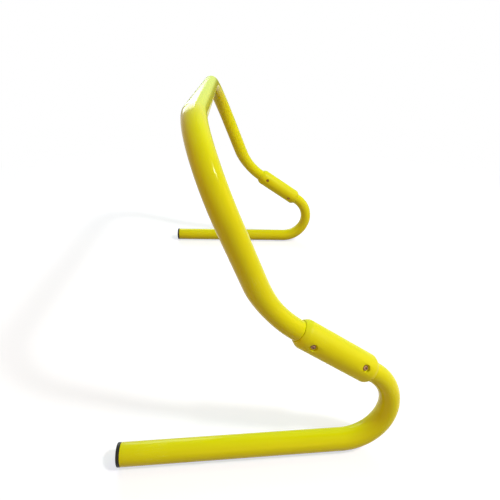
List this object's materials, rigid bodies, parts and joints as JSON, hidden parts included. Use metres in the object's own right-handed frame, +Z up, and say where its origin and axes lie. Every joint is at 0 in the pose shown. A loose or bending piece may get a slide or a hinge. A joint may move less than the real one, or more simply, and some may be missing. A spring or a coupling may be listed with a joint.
{
  "type": "training hurdle",
  "caption": "Low track training hurdle bent from plastic tube: a crossbar with sloping legs joined by screwed sleeves to J-shaped feet that run forward along the floor.",
  "frame": {"origin": "on the floor, under the middle of the hurdle's box", "axes": "+X towards the rear bends, +Y along the crossbar towards the left side, +Z up"},
  "size_m": [0.3088, 0.6138, 0.3653],
  "materials": {
    "yellow_tube": "glossy extruded PVC",
    "yellow_moulding": "satin moulded PVC",
    "black_plug": "satin moulded polyethylene",
    "zinc_screw": "dull zinc plate",
    "zinc_nut": "dull zinc plate",
    "steel_bar": "rolled steel"
  },
  "bodies": {
    "root": {"top_frame_tube": "yellow_tube", "right_sleeve": "yellow_moulding", "left_sleeve": "yellow_moulding", "right_foot_tube": "yellow_tube", "left_foot_tube": "yellow_tube", "right_end_plug": "black_plug", "left_end_plug": "black_plug", "right_counterweight": "steel_bar", "left_counterweight": "steel_bar", "right_leg_screw": "zinc_screw", "right_foot_screw": "zinc_screw", "left_leg_screw": "zinc_screw", "left_foot_screw": "zinc_screw", "right_leg_nut": "zinc_nut", "right_foot_nut": "zinc_nut", "left_leg_nut": "zinc_nut", "left_foot_nut": "zinc_nut"}
  },
  "joints": []
}
